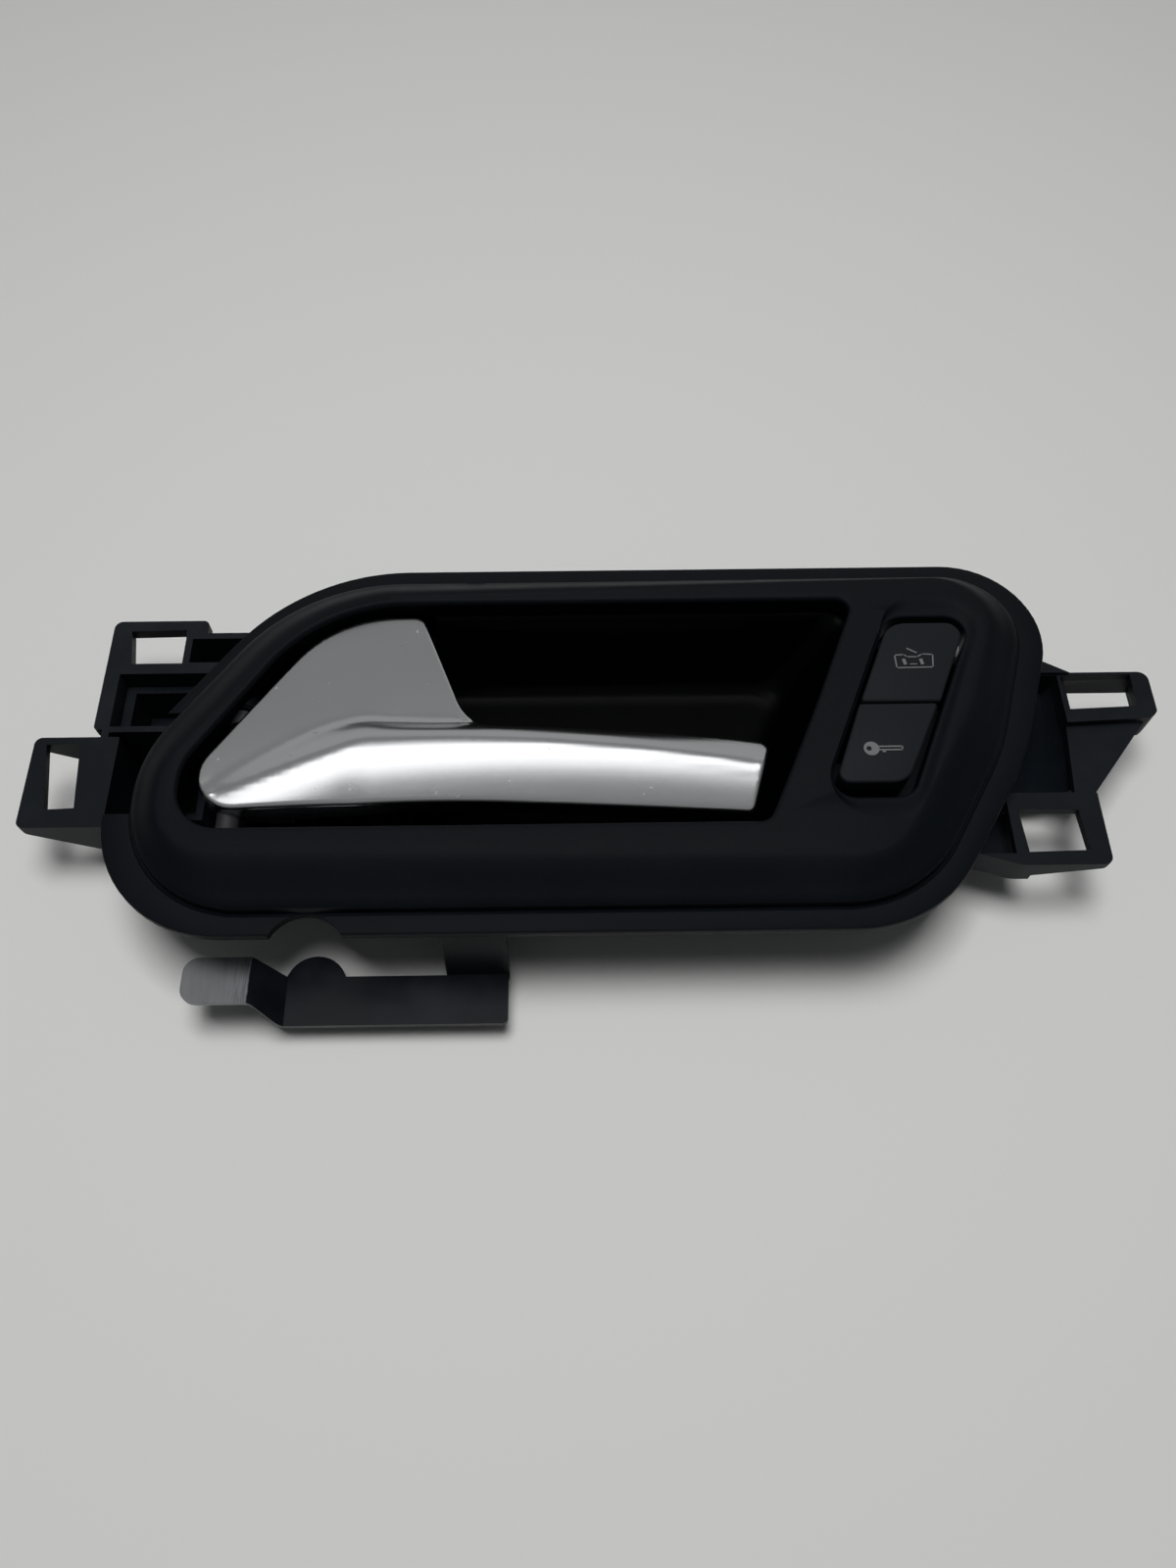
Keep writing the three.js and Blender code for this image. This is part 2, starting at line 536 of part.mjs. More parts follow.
// ---- bracket -------------------------------------------------------------------------------------------
function makeBracket() {
  const stripTop = 8;
  const tipTop = 16;
  const side = extrudeAlongY([
    [-93.5, tipTop - steel], [-79.2, tipTop - steel], [-72.7, stripTop - steel], [-21.8, stripTop - steel],
    [-21.8, stripTop], [-72, stripTop], [-78.5, tipTop], [-93.5, tipTop],
  ], -56, -40);
  const blank = outline([
    [-93.5, -51.7, 3.5], [-78, -51.7, 3], [-73, -54.7, 3], [-21.8, -54.7, 1.2], [-21.8, -43.3, 0.6],
    [-72, -43.3, 3],
    [-78, -41.2, 3], [-93.5, -41.2, 3.5],
  ]);
  const strip = side.intersect(prism(blank, 0, 30));
  const lobe = cut(post(7, stripTop - steel, stripTop, -65.6, -45.4, 32), box(-80, -50, -60, -47, 0, 20));
  const leg = extrudeAlongX([
    [-44.3, stripTop - steel], [-43.3, stripTop - steel], [-41.6, stripTop], [-37.6, 23.9], [-27.4, 23.9],
    [-27.4, 25.4], [-38.7, 25.4], [-43.2, stripTop], [-44.3, stripTop],
  ], -35.9, -21.6);
  const holes = bracketScrews.map(([x, y]) => post(1.6, 20, 30, x, y, 12));
  return cut(join(strip, lobe, leg), ...holes);
}

// ---- lock switch ---------------------------------------------------------------------------------------
const unlockCorners = [[59.2, 10.5, 0.8], [77.6, 10.5, 0.8], [86.9, 32.3, 3.5], [68.3, 32.3, 6]];
const lockCorners = [[51.2, -10.3, 2.4], [67.3, -10.3, 5.5], [77, 10, 0.8], [58.9, 10, 0.8]];
const housingCorners = [[52, -10.5, 2], [70.6, -10.5, 2], [84.6, 26.4, 2], [66, 26.4, 2]];
const domes = [[63.2, 0.5], [73.4, 19.5]];

function makeKey(corners, [domeX, domeY]) {
  const edge = outline(corners, 5, 2);
  const middle = edge.map(() => new THREE.Vector2(domeX, domeY));
  const cap = skin([
    { points: middle, z: keyBottom },
    { points: offset(edge, -0.2), z: keyBottom },
    { points: edge, z: keyTop - 0.8 },
    { points: offset(edge, -0.2), z: keyTop - 0.3 },
    { points: offset(edge, -0.6), z: keyTop - 0.1 },
    { points: blend(edge, middle, 0.16), z: keyTop },
    { points: middle, z: keyTop - 0.25 },
  ], false);
  const stem = post(2.4, 24.6, keyBottom + 0.5, domeX, domeY);
  const guide = box(domeX - 0.8, domeX + 0.8, domeY - 5, domeY + 5, 24.6, keyBottom + 0.5);
  return join(cap, stem, guide);
}

function makeSwitchHousing() {
  const room = plate(grow(housingCorners, -1.8), 10, housingTop - 2);
  const shell = cut(plate(housingCorners, housingBottom, housingTop), room);
  const openings = domes.flatMap(([x, y]) => [
    post(2.8, 20, 30, x, y), box(x - 1.2, x + 1.2, y - 5.5, y + 5.5, 20, 30),
  ]);
  const ears = join(box(48, 60, -6, 0, 24.6, housingTop), box(76, 88, 8, 14, 24.6, housingTop));
  return cut(join(shell, ears), ...openings, plate(grow(housingCorners, -1.8), 10, housingTop - 2));
}

function makeSwitchCover() {
  const inner = plate(grow(housingCorners, -2.1), housingBottom - 2, housingBottom + 1.4);
  const lid = join(inner, plate(housingCorners, housingBottom - 2.2, housingBottom - gap));
  const shroud = cut(box(60, 76, 1, 12, 4, 11), box(61.6, 74.4, 2.6, 10.4, 3, 9.5));
  const slot = box(62.5, 73.5, 4, 9, 8, 20);
  return cut(join(lid, shroud), slot);
}

function makeSwitchBoard() {
  return plate(grow(housingCorners, -2.1), boardTop - 1.6, boardTop);
}

function makeDome([x, y]) {
  const profile = [[0, 0], [4, 0], [4, 0.7], [2.6, 0.9], [1.9, 2.2], [1.6, 2.4], [0, 2.4]];
  const turned = new THREE.LatheGeometry(polygon(profile), 20).rotateX(Math.PI / 2);
  return solid(turned.translate(x, y, boardTop + gap));
}

function makePinHeader() {
  const block = box(63, 73, 4.5, 8.5, 14, boardTop - 1.6 - gap);
  const pins = [64.5, 66.8, 69.2, 71.5].map((x) => box(x - 0.4, x + 0.4, 6.1, 6.9, 5.5, 15));
  return join(block, ...pins);
}

// ---- assembly ------------------------------------------------------------------------------------------
const group = new THREE.Group();

function add(name, body, colour, roughness, metalness = 0) {
  const mesh = body.getMesh();
  const geometry = new THREE.BufferGeometry();
  geometry.setAttribute("position", new THREE.BufferAttribute(new Float32Array(mesh.vertProperties), 3));
  geometry.setIndex(new THREE.BufferAttribute(new Uint32Array(mesh.triVerts), 1));
  const material = new THREE.MeshStandardMaterial({ color: colour, roughness, metalness, flatShading: true });
  const piece = new THREE.Mesh(geometry, material);
  piece.name = name;
  group.add(piece);
}

const black = 0x17191c;
const zinc = 0x9a9da0;

add("bezel", makeBezel(), black, 0.55);
add("finger_bowl", makeBowl(), 0x050506, 0.25);
add("carrier", makeCarrier(), 0x1b1c1e, 0.65);
add("lever", makeLever(), 0xb9bbbd, 0.32, 1);
add("lever_core", makeLeverCore(), 0x202124, 0.6);
add("pivot_pin", makePivotPin(), zinc, 0.3, 1);
add("pin_clip", makePinClip(), zinc, 0.35, 1);
add("pivot_bush_lower", makeBush(towers[0], false), 0x26272a, 0.5);
add("pivot_bush_upper", makeBush(towers[1], true), 0x26272a, 0.5);
add("return_spring", makeSpring(), 0x8a8d90, 0.3, 1);
add("lever_stop", makeLeverStop(), 0x101010, 0.9);
add("cable_guide", makeCableGuide(), 0x2a2b2e, 0.6);
add("steel_bracket", makeBracket(), 0x1f2022, 0.45, 1);
add("switch_housing", makeSwitchHousing(), 0x1d1e20, 0.6);
add("switch_cover", makeSwitchCover(), 0x1d1e20, 0.6);
add("switch_board", makeSwitchBoard(), 0x1f5a33, 0.5);
add("pin_header", makePinHeader(), 0x2b2b2b, 0.5);
add("switch_dome_1", makeDome(domes[0]), 0x8f9090, 0.85);
add("switch_dome_2", makeDome(domes[1]), 0x8f9090, 0.85);
add("lock_button", makeKey(lockCorners, domes[0]), 0x26282b, 0.5);
add("unlock_button", makeKey(unlockCorners, domes[1]), 0x26282b, 0.5);
coreScrews.forEach(([x, y], i) => {
  add(`core_screw_${i + 1}`, screw(2.4, 1.6, 1.1, 4).translate([x, y, fanTop - 7.2]), zinc, 0.35, 1);
});
bosses.forEach(([x, y], i) => {
  add(`bezel_screw_${i + 1}`, screw(2.7, 2, 1.2, 8.6).translate([x, y, lugBottom - 2 - gap]), zinc, 0.35, 1);
});
bracketScrews.forEach(([x, y], i) => {
  const seated = screw(2.5, 1.6, 0.9, 8).rotate([180, 0, 0]).translate([x, y, 25.4 + gap + 1.6]);
  add(`bracket_screw_${i + 1}`, seated, zinc, 0.35, 1);
});

export default group;
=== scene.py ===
# Inside door handle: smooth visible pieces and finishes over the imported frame.
import math

import bmesh
import bpy
import numpy as np
from mathutils import Matrix, Vector


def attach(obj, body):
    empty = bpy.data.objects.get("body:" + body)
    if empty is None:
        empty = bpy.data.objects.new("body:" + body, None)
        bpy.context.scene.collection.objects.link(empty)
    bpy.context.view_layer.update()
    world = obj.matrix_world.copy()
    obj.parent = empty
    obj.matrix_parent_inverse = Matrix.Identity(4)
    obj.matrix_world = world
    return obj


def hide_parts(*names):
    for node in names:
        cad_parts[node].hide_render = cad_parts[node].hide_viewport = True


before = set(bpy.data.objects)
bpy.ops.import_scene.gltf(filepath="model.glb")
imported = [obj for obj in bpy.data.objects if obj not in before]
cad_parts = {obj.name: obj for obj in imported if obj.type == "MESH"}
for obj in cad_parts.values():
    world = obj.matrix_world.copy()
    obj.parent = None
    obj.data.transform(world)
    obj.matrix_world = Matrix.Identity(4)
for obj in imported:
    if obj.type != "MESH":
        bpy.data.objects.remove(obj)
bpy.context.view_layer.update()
mm = 0.001
print("frame loaded:", len(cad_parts), "nodes")


class Wire:
    # a node socket that can be used in sums, so a mask reads as an expression
    def __init__(self, tree, socket=None):
        self.tree = tree
        self.socket = socket

    def feed(self, target, value):
        if isinstance(value, Wire):
            self.tree.links.new(value.socket, target)
        else:
            target.default_value = value

    def node(self, kind, settings=None, out=0, **inputs):
        made = self.tree.nodes.new(kind)
        for name, value in (settings or {}).items():
            setattr(made, name, value)
        for name, value in inputs.items():
            key = int(name[1:]) if name[0] == "n" and name[1:].isdigit() else name.replace("_", " ")
            self.feed(made.inputs[key], value)
        return Wire(self.tree, made.outputs[out])

    def math(self, operation, a, b=0.0):
        return self.node("ShaderNodeMath", {"operation": operation}, n0=a, n1=b)

    def __add__(self, other):
        return self.math("ADD", self, other)

    __radd__ = __add__

    def __sub__(self, other):
        return self.math("SUBTRACT", self, other)

    def __rsub__(self, other):
        return self.math("SUBTRACT", other, self)

    def __mul__(self, other):
        return self.math("MULTIPLY", self, other)

    __rmul__ = __mul__

    def step(self, low, high):
        return self.node("ShaderNodeMapRange", {"interpolation_type": "SMOOTHSTEP"}, Value=self,
                         From_Min=low, From_Max=high)

    def mixed(self, first, second):
        # a colour between two colours, by this value
        return self.node("ShaderNodeMix", {"data_type": "RGBA"}, out=2, Factor=self, n6=first, n7=second)

    def noise(self, scale, detail=2.0, rough=0.5, stretch=(1, 1, 1)):
        place = self.node("ShaderNodeTexCoord", out=3)
        if stretch != (1, 1, 1):
            place = self.node("ShaderNodeMapping", Vector=place, Scale=stretch)
        return self.node("ShaderNodeTexNoise", Vector=place, Scale=scale, Detail=detail, Roughness=rough)

    def axis(self, name):
        place = self.node("ShaderNodeTexCoord", out=3)
        return self.node("ShaderNodeSeparateXYZ", out=name, Vector=place)

    def bump(self, height, strength, distance):
        return self.node("ShaderNodeBump", Height=height, Strength=strength, Distance=distance)


def finish(name, settings, paint=None):
    material = bpy.data.materials.new(name)
    material.use_nodes = True
    tree = material.node_tree
    shader = tree.nodes["Principled BSDF"]
    for socket, value in settings.items():
        shader.inputs[socket].default_value = value
    if paint:
        wire = Wire(tree)
        for socket, value in paint(wire).items():
            wire.feed(shader.inputs[socket], value)
    return material


def grainedPlastic(name, dark, light, rough, grain=0.12, dust=0.25):
    # moulded plastic with a fine grain and a little dry dust
    def paint(wire):
        blotch = wire.noise(38, 4, 0.6)
        specks = wire.noise(900, 2, 0.5).step(0.66, 0.74)
        grains = wire.noise(2600, 2, 0.6)
        dusty = (blotch.step(0.42, 0.72) * dust + specks * 0.35) * 0.6
        return {
            "Base Color": dusty.mixed(dark, light),
            "Roughness": rough + (blotch - 0.5) * 0.16,
            "Normal": wire.bump(grains, grain, 0.0002),
        }
    return finish(name, {"Specular IOR Level": 0.15}, paint)


def satinMetal(name):
    # satin plating: very fine grain, a faint flow along the bar and a few tiny specks
    def paint(wire):
        cloud = wire.noise(24, 4, 0.55)
        grain = wire.noise(5200, 2, 0.6)
        flow = wire.noise(260, 3, 0.6, (0.12, 1, 1))
        specks = wire.noise(560, 1, 0.3).step(0.79, 0.81)
        tone = (cloud - 0.5) * 0.22 + (flow - 0.5) * 0.12 + 0.5
        return {
            "Base Color": tone.mixed((0.56, 0.565, 0.575, 1), (0.7, 0.705, 0.715, 1)),
            "Roughness": 0.22 + (cloud - 0.5) * 0.06 + (grain - 0.5) * 0.06 + specks * 0.2,
            "Normal": wire.bump(grain * 0.5 + flow * 0.5 - specks * 0.9, 0.05, 0.0002),
        }
    return finish(name, {"Metallic": 1.0}, paint)


def glossyBlack(name):
    def paint(wire):
        haze = wire.noise(30, 4, 0.6)
        pits = wire.noise(1500, 1, 0.4).step(0.68, 0.76)
        pale = haze.step(0.4, 0.8) * 0.5 + pits * 0.4
        return {
            "Base Color": pale.mixed((0.0003, 0.0004, 0.0005, 1), (0.0012, 0.0013, 0.0016, 1)),
            "Roughness": 0.3 + (haze - 0.5) * 0.16 + pits * 0.2,
        }
    return finish(name, {"Specular IOR Level": 0.06}, paint)


def coatedSteel(name, bareBelowX, edgeBlur):
    # black coating that stops short of the tip, which is bare steel with pale scratches
    def paint(wire):
        wobble = wire.noise(300, 3, 0.6)
        place = wire.axis("X") + (wobble - 0.5) * edgeBlur
        bare = 1 - place.step(bareBelowX - edgeBlur * 0.2, bareBelowX + edgeBlur * 0.2)
        scratches = wire.noise(700, 3, 0.7, (1, 0.08, 1))
        nearBend = wire.axis("X").step(bareBelowX - 4 * edgeBlur, bareBelowX)
        wear = nearBend * wire.noise(2400, 2, 0.6, (1, 0.05, 1)).step(0.45, 0.62)
        cloud = wire.noise(60, 4, 0.6)
        coat = cloud.step(0.35, 0.75).mixed((0.004, 0.0048, 0.0072, 1), (0.013, 0.0145, 0.019, 1))
        steel = (scratches - wear * 0.8).mixed((0.12, 0.125, 0.135, 1), (0.27, 0.275, 0.285, 1))
        return {
            "Base Color": bare.mixed(coat, steel),
            "Metallic": bare * 0.95,
            "Roughness": 0.42 + (cloud - 0.5) * 0.2 - bare * 0.06 + scratches * bare * 0.14,
            "Normal": wire.bump(scratches * 0.4 + cloud * 0.6, 0.1, 0.0003),
        }
    return finish(name, {"Specular IOR Level": 0.22}, paint)


def platedSteel(name, light, rough):
    def paint(wire):
        cloud = wire.noise(500, 3, 0.6)
        return {
            "Base Color": cloud.mixed((light * 0.8, light * 0.8, light * 0.78, 1), (light, light, light, 1)),
            "Roughness": rough + (cloud - 0.5) * 0.18,
        }
    return finish(name, {"Metallic": 1.0}, paint)


def plainPlastic(name, colour, rough, vary=0.3):
    def paint(wire):
        cloud = wire.noise(80, 4, 0.6)
        low = tuple(c * (1 - vary) for c in colour[:3]) + (1,)
        return {
            "Base Color": cloud.mixed(low, colour),
            "Roughness": rough + (cloud - 0.5) * 0.15,
            "Normal": wire.bump(wire.noise(1800, 2, 0.6), 0.08, 0.0002),
        }
    return finish(name, {}, paint)


bezelFinish = grainedPlastic("bezelGrain", (0.0020, 0.0032, 0.0050, 1), (0.0085, 0.0108, 0.014, 1), 0.5)
carrierFinish = grainedPlastic("carrierGrain", (0.006, 0.0078, 0.0105, 1), (0.024, 0.027, 0.031, 1), 0.5,
                               grain=0.1, dust=0.45)
keyFinish = grainedPlastic("keyGrain", (0.0095, 0.0115, 0.014, 1), (0.019, 0.0215, 0.025, 1), 0.46,
                           grain=0.08, dust=0.15)
bowlFinish = glossyBlack("bowlGloss")
leverFinish = satinMetal("leverSatin")
bracketFinish = coatedSteel("bracketCoat", -78.6 * mm, 1.2 * mm)
zincFinish = platedSteel("zincPlate", 0.6, 0.34)
springFinish = platedSteel("springWire", 0.42, 0.3)
coreFinish = plainPlastic("coreBlack", (0.03, 0.03, 0.034, 1), 0.5)
bushFinish = grainedPlastic("bushBlack", (0.003, 0.003, 0.0034, 1), (0.008, 0.008, 0.009, 1), 0.6)
# painted shade: the pivot pin is plated steel, but its tone is set near black so it reads dark in the shade
# under the lever
pinShadeFinish = platedSteel("pinSteelShaded", 0.05, 0.5)
rubberFinish = plainPlastic("stopRubber", (0.02, 0.02, 0.02, 1), 0.8)
domeFinish = plainPlastic("domeSilicone", (0.36, 0.36, 0.36, 1), 0.7, 0.1)
boardFinish = plainPlastic("boardGreen", (0.03, 0.16, 0.07, 1), 0.4, 0.4)
printFinish = plainPlastic("iconPrint", (0.17, 0.175, 0.18, 1), 0.5, 0.25)
print("finishes ready")


def grown(corners, distance):
    # the same corners with every side moved outwards, radii kept concentric
    count = len(corners)
    result = []
    for i, (x, y, radius) in enumerate(corners):
        before = Vector((x, y)) - Vector(corners[i - 1][:2])
        after = Vector(corners[(i + 1) % count][:2]) - Vector((x, y))
        left = Vector((before.y, -before.x)).normalized()
        right = Vector((after.y, -after.x)).normalized()
        shift = (left + right) * (distance / (1 + left.dot(right)))
        turnsLeft = before.x * after.y - before.y * after.x > 0
        result.append((x + shift.x, y + shift.y, max(0.15, radius + (distance if turnsLeft else -distance))))
    return result


def between(first, second, share):
    return [tuple(a + (b - a) * share for a, b in zip(p, q)) for p, q in zip(first, second)]


def roundedLoop(bm, corners, z, arcSteps=12):
    # a closed loop of edges round a polygon, each corner spun about its own centre
    start = len(bm.edges)
    count = len(corners)
    first = last = None
    for i, (x, y, radius) in enumerate(corners):
        corner = Vector((x, y))
        back = (Vector(corners[i - 1][:2]) - corner).normalized()
        ahead = (Vector(corners[(i + 1) % count][:2]) - corner).normalized()
        half = back.angle(ahead) / 2
        centre = corner + (back + ahead).normalized() * (radius / math.sin(half))
        leave = corner + back * (radius / math.tan(half))
        turn = (math.pi - 2 * half) * (1 if back.x * ahead.y - back.y * ahead.x < 0 else -1)
        vert = bm.verts.new((leave.x * mm, leave.y * mm, z * mm))
        if last:
            bm.edges.new((last, vert))
        spun = bmesh.ops.spin(bm, geom=[vert], cent=(centre.x * mm, centre.y * mm, z * mm), axis=(0, 0, 1),
                              angle=turn, steps=arcSteps)
        last = spun["geom_last"][0]
        first = first or vert
    bm.edges.new((last, first))
    bm.edges.ensure_lookup_table()
    return bm.edges[start:]


def skin(bm, loops, closed=False):
    pairs = list(zip(loops, loops[1:])) + ([(loops[-1], loops[0])] if closed else [])
    for first, second in pairs:
        bmesh.ops.bridge_loops(bm, edges=first + second)


def cap(bm, loop):
    return bmesh.ops.contextual_create(bm, geom=loop)["faces"]


def pieceFrom(bm, name, material, sharpAngle=35):
    bmesh.ops.remove_doubles(bm, verts=bm.verts, dist=0.002 * mm)
    bmesh.ops.recalc_face_normals(bm, faces=bm.faces)
    mesh = bpy.data.meshes.new(name)
    bm.to_mesh(mesh)
    bm.free()
    piece = bpy.data.objects.new(name, mesh)
    bpy.context.scene.collection.objects.link(piece)
    mesh.materials.append(material)
    smooth(piece, sharpAngle)
    return piece


def smooth(piece, sharpAngle):
    piece.data.shade_smooth()
    piece.data.set_sharp_from_angle(angle=math.radians(sharpAngle))


def bevelled(piece, width, segments=2, angle=35):
    bevel = piece.modifiers.new("edges", "BEVEL")
    bevel.width = width * mm
    bevel.segments = segments
    bevel.limit_method = "ANGLE"
    bevel.angle_limit = math.radians(angle)
    return piece


def combined(piece, tool, operation):
    # joins or cuts with another closed piece, which is used up
    modifier = piece.modifiers.new("combine", "BOOLEAN")
    modifier.operation = operation
    modifier.solver = "EXACT"
    modifier.object = tool
    bpy.context.view_layer.update()
    made = bpy.data.meshes.new_from_object(piece.evaluated_get(bpy.context.evaluated_depsgraph_get()))
    piece.modifiers.clear()
    piece.data = made
    bpy.data.objects.remove(tool)
    return piece


def block(name, corners, low, high, material):
    bm = bmesh.new()
    bottom = roundedLoop(bm, corners, low)
    top = roundedLoop(bm, corners, high)
    skin(bm, [bottom, top])
    cap(bm, bottom)
    cap(bm, top)
    return pieceFrom(bm, name, material)


def place(piece, body, slot, *nodes):
    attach(piece, body)
    if nodes:
        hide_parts(*nodes)
    return piece


bezel = {
    "flange": [(-112, -41.7, 30), (71.7, -41.7, 32), (97.6, -0.6, 80), (116, 54.7, 22), (-72.8, 54.7, 50),
               (-112, -1, 30)],
    "body": [(-105.2, -36.5, 27), (68.9, -36.5, 30), (92, 2, 70), (107, 49.7, 16.5), (-72.3, 49.7, 46),
             (-105.2, 2, 30)],
    "crest": [(-98, -23.8, 13), (62.5, -27, 15), (84.5, 10, 70), (97.5, 46.4, 12), (-67.2, 42.8, 39),
              (-98, -3.4, 16)],
    "opening": [(-94, -18.6, 10), (36.4, -18.6, 3.5), (49.2, 10.6, 300), (61.3, 40.4, 3), (-66.3, 40.4, 37),
                (-94, -2.7, 14)],
    "pocket": [(48.7, -12.8, 5), (68.5, -12.8, 5.5), (89.3, 35.4, 4.5), (69, 35.4, 6)],
    "dish": [(45.4, -18.8, 10), (69.6, -18.8, 11), (94.6, 41.2, 9), (70.3, 41.2, 9)],
    "flangeBack": 27.8,
    "flangeTop": 30,
    "wallTop": 32.4,
    "crestTop": 36.2,
    "lipBottom": 29.95,
    "wall": 2.2,
    "bosses": [(-92.5, -23.5), (-6, -29), (42, -29), (-30, 47.6), (36, 47.6)],
    "bossRadius": 3,
    "screwHole": 1.5,
    "notch": (-64, -45.6),
    "notchRadius": 8.8,
    "keyCorner": 0.6,
}


def makeBezel(s):
    bm = bmesh.new()
    ring = lambda corners, z: roundedLoop(bm, corners, z, 16)
    slope = lambda share: between(s["body"], s["crest"], share)
    rise = s["crestTop"] - s["wallTop"]
    foot = grown(s["body"], 0.35)
    loops = [
        ring(grown(s["flange"], -0.25), s["flangeBack"]),
        ring(s["flange"], s["flangeBack"] + 0.25),
        ring(s["flange"], s["flangeTop"] - 0.5),
        ring(grown(s["flange"], -0.15), s["flangeTop"] - 0.15),
        ring(grown(s["flange"], -0.5), s["flangeTop"] - 0.002),
        ring(grown(foot, 0.5), s["flangeTop"]),
        ring(grown(foot, 0.15), s["flangeTop"] - 0.28),
        ring(s["body"], s["flangeTop"] - 0.3),
        ring(grown(s["body"], -0.1), s["flangeTop"] + 1.2),
        ring(grown(s["body"], -0.3), s["wallTop"] - 0.5),
        ring(grown(s["body"], -0.7), s["wallTop"] - 0.1),
    ]
    # a hollow slope that swells into the crest
    for step in range(1, 13):
        share = 0.12 + 0.88 * step / 12
        climb = 0.30 * share + 0.70 * (3 * share ** 2 - 2 * share ** 3)
        loops.append(ring(slope(share), s["wallTop"] + rise * climb))
    top = s["crestTop"]
    loops.append(ring(between(s["crest"], s["opening"], 0.45), top + 0.02))
    loops.append(ring(grown(s["opening"], 1.5), top - 0.05))
    for step in range(5):
        turn = math.radians(15 + 18.75 * step)
        loops.append(ring(grown(s["opening"], 1.1 - 1.1 * math.sin(turn)), top - 1.15 + 1.1 * math.cos(turn)))
    loops += [
        ring(grown(s["opening"], 0.7), top - 1.7),
        ring(grown(s["opening"], 0.8), s["lipBottom"]),
        ring(grown(s["opening"], s["wall"]), s["lipBottom"] + 0.05),
        ring(grown(s["opening"], s["wall"]), top - 2.4),
        ring(s["crest"], top - 2.55),
        ring(slope(0.5), s["wallTop"] - 0.6),
        ring(grown(s["body"], -s["wall"]), s["wallTop"] - 2),
        ring(grown(s["body"], -s["wall"]), s["flangeBack"] + 0.15),
    ]
    skin(bm, loops, closed=True)
    piece = pieceFrom(bm, "bezelTrim", bezelFinish)
    collar = block("collar", grown(s["pocket"], 1.6), 29.6, top - 1, bezelFinish)
    piece = combined(piece, collar, "UNION")
    piece = combined(piece, pocketCutter(s), "DIFFERENCE")
    piece = combined(piece, sideCutter(s), "DIFFERENCE")
    notch = rod(s["notchRadius"], s["flangeBack"] - 2, s["flangeTop"] + 2, *s["notch"], segments=72)
    piece = combined(piece, notch, "DIFFERENCE")
    for x, y in s["bosses"]:
        roof = s["wallTop"] + (0.6 if y < 0 else 0)
        piece = combined(piece, rod(s["bossRadius"], s["flangeBack"], roof, x, y), "UNION")
        piece = combined(piece, rod(s["screwHole"], s["flangeBack"] - 1, roof - 0.6, x, y), "DIFFERENCE")
    smooth(piece, 38)
    return place(piece, "frame", "bezel_plastic", "bezel")


def pocketCutter(s):
    # the straight pocket for the keys, opening into a shallow dish
    bm = bmesh.new()
    top, corner = s["crestTop"], s["keyCorner"]
    mouth = grown(s["pocket"], corner)
    edge = top - 1 - corner
    loops = [roundedLoop(bm, s["pocket"], s["flangeBack"] - 2), roundedLoop(bm, s["pocket"], edge)]
    for step in range(1, 5):
        turn = math.radians(22.5 * step)
        corners = grown(s["pocket"], corner - corner * math.cos(turn))
        loops.append(roundedLoop(bm, corners, edge + corner * math.sin(turn)))
    for step in range(1, 11):
        share = step / 10
        lift = 3 * share ** 2 - 2 * share ** 3
        loops.append(roundedLoop(bm, between(mouth, s["dish"], share), top - 1 + 1.04 * lift))
    loops.append(roundedLoop(bm, s["dish"], top + 3))
    skin(bm, loops)
    cap(bm, loops[0])
    cap(bm, loops[-1])
    return pieceFrom(bm, "pocketCutter", bezelFinish)


def sideCutter(s):
    # the flange is cut back beside the pivot end
    tool = block("besideBody", [(-120, -12.3, 0.5), (-88, -12.3, 0.5), (-88, 14, 0.5), (-120, 14, 0.5)],
                 s["flangeBack"] - 1, s["flangeTop"] + 0.2, bezelFinish)
    keep = block("keepBody", grown(s["body"], 0.8), s["flangeBack"] - 2, s["flangeTop"] + 3, bezelFinish)
    return combined(tool, keep, "DIFFERENCE")


def rod(radius, low, high, x, y, segments=40):
    bm = bmesh.new()
    ends = bmesh.ops.create_cone(bm, cap_ends=True, segments=segments, radius1=radius * mm,
                                 radius2=radius * mm, depth=(high - low) * mm)
    bmesh.ops.translate(bm, vec=Vector((x, y, (low + high) / 2)) * mm, verts=ends["verts"])
    return pieceFrom(bm, "rod", bezelFinish)


makeBezel(bezel)
print("bezel made")


bowl = {
    "top": [(-52, -19.2, 5), (36.8, -19.2, 3.8), (49.5, 10.4, 300), (61.8, 40.9, 3.3), (-52, 40.9, 5)],
    "floor": [(-46, -13, 7), (27.5, -13, 7), (37.8, 10.4, 300), (47.6, 30, 7), (-46, 30, 7)],
    "rimTop": 29.6,
    "floorTop": 10,
    "wall": 1.8,
}


